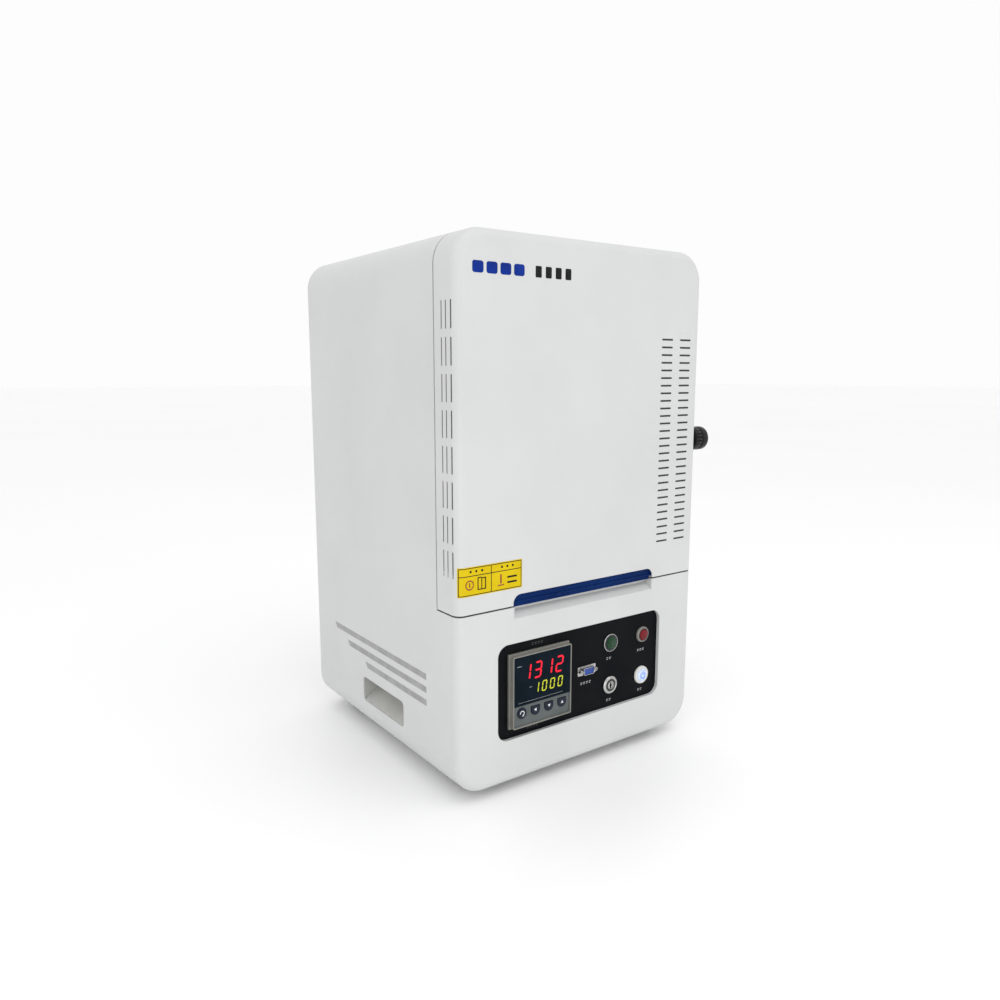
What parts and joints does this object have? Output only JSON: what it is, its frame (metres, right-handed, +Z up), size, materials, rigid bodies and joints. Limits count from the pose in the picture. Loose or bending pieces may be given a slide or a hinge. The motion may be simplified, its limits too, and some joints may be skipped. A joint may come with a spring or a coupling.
{
  "type": "bench-top kiln",
  "caption": "Upright electric kiln with a side-hung door over a control base, a round latch knob, a temperature controller, push buttons and side carrying grips.",
  "frame": {"origin": "centre of the footprint on the standing plane, midway between the four feet", "axes": "+X to the right seen from the front, +Y to the rear, +Z up"},
  "size_m": [0.428, 0.419, 0.677],
  "materials": {
    "white_paint": "satin",
    "zinc_sheet": "satin",
    "stainless": "satin",
    "steel": "satin",
    "chrome": "polished",
    "brass": "satin",
    "raw_aluminium": "satin",
    "foot_rubber": "matte",
    "ceramic_fibre": "matte",
    "fibre_rope": "matte",
    "hearth": "matte",
    "element_wire": "matte",
    "porcelain": "gloss",
    "grip_plastic": "matte",
    "panel_black": "satin",
    "black_plastic": "matte",
    "white_plastic": "satin",
    "bezel_grey": "satin",
    "window_dark": "gloss",
    "digit_red": "gloss",
    "digit_green": "gloss",
    "key_dark": "matte",
    "port_blue": "satin",
    "button_green": "gloss",
    "button_red": "gloss",
    "button_blue": "gloss",
    "grip_blue": "satin",
    "knob_black": "satin"
  },
  "bodies": {
    "cabinet": {"cabinet_shell": "white_paint", "finger_scoop": "white_paint", "base_plate": "zinc_sheet", "feet": "foot_rubber", "deck_plate": "zinc_sheet", "front_plate": "stainless", "back_panel": "white_paint", "support_rails": "zinc_sheet", "inner_casing": "zinc_sheet", "chamber_block": "ceramic_fibre", "hearth_plate": "hearth", "heating_elements": "element_wire", "heater_terminals": "porcelain", "thermocouple": "porcelain", "exhaust_sleeve": "stainless", "hinge_arms": "steel", "latch_keeper": "steel", "grip_cup_left": "grip_plastic", "grip_cup_right": "grip_plastic", "control_panel": "panel_black", "controller_housing": "black_plastic", "controller_bezel": "bezel_grey", "controller_window": "window_dark", "digits_upper": "digit_red", "digits_lower": "digit_green", "button_rings": "chrome", "switch_bodies": "black_plastic", "port_shell": "chrome", "port_insert": "port_blue", "port_jackposts": "chrome", "relay_heat_sink": "raw_aluminium", "solid_state_relay": "black_plastic", "contactor": "black_plastic", "terminal_strip": "white_plastic", "fan_frame": "black_plastic", "fan_guard": "chrome", "power_inlet": "black_plastic", "earth_stud": "brass", "cabinet_screws": "steel"},
    "door": {"door_skin": "white_paint", "door_core_box": "zinc_sheet", "door_inner_plate": "stainless", "door_insulation": "ceramic_fibre", "door_plug": "ceramic_fibre", "door_seal": "fibre_rope", "door_grip": "grip_blue", "hinge_ears": "steel", "hinge_pins": "steel", "latch_block": "steel"},
    "fan": {"fan_rotor": "black_plastic"},
    "key_cycle": {"key_cycle": "key_dark"},
    "key_left": {"key_left": "key_dark"},
    "key_down": {"key_down": "key_dark"},
    "key_up": {"key_up": "key_dark"},
    "start_button": {"start_button": "button_green"},
    "stop_button": {"stop_button": "button_red"},
    "power_button": {"power_button": "button_blue"},
    "key_switch": {"key_barrel": "chrome"},
    "latch": {"latch_shaft": "steel", "latch_knob": "knob_black"}
  },
  "joints": [
    {"name": "door_hinge", "type": "hinge", "parent": "cabinet", "child": "door", "pos_m": [-0.19, -0.187, 0.4585], "axis": [0, 0, -1], "range_deg": [0, 95]},
    {"name": "latch_turn", "type": "hinge", "parent": "door", "child": "latch", "pos_m": [0.181, -0.181, 0.426], "axis": [-1, 0, 0], "range_deg": [0, 90]},
    {"name": "fan_spin", "type": "hinge", "parent": "cabinet", "child": "fan", "pos_m": [-0.08, 0.187, 0.13], "axis": [0, 1, 0], "continuous": true},
    {"name": "key_switch_turn", "type": "hinge", "parent": "cabinet", "child": "key_switch", "pos_m": [0.047, -0.19, 0.1005], "axis": [0, 1, 0], "range_deg": [0, 90]},
    {"name": "start_press", "type": "slide", "parent": "cabinet", "child": "start_button", "axis": [0, 1, 0], "range_m": [0, 0.0025], "stiffness_N_per_m": 500},
    {"name": "stop_press", "type": "slide", "parent": "cabinet", "child": "stop_button", "axis": [0, 1, 0], "range_m": [0, 0.0025], "stiffness_N_per_m": 500},
    {"name": "power_press", "type": "slide", "parent": "cabinet", "child": "power_button", "axis": [0, 1, 0], "range_m": [0, 0.0025], "stiffness_N_per_m": 500},
    {"name": "key_cycle_press", "type": "slide", "parent": "cabinet", "child": "key_cycle", "axis": [0, 1, 0], "range_m": [0, 0.0008], "stiffness_N_per_m": 800},
    {"name": "key_left_press", "type": "slide", "parent": "cabinet", "child": "key_left", "axis": [0, 1, 0], "range_m": [0, 0.0008], "stiffness_N_per_m": 800},
    {"name": "key_down_press", "type": "slide", "parent": "cabinet", "child": "key_down", "axis": [0, 1, 0], "range_m": [0, 0.0008], "stiffness_N_per_m": 800},
    {"name": "key_up_press", "type": "slide", "parent": "cabinet", "child": "key_up", "axis": [0, 1, 0], "range_m": [0, 0.0008], "stiffness_N_per_m": 800}
  ]
}
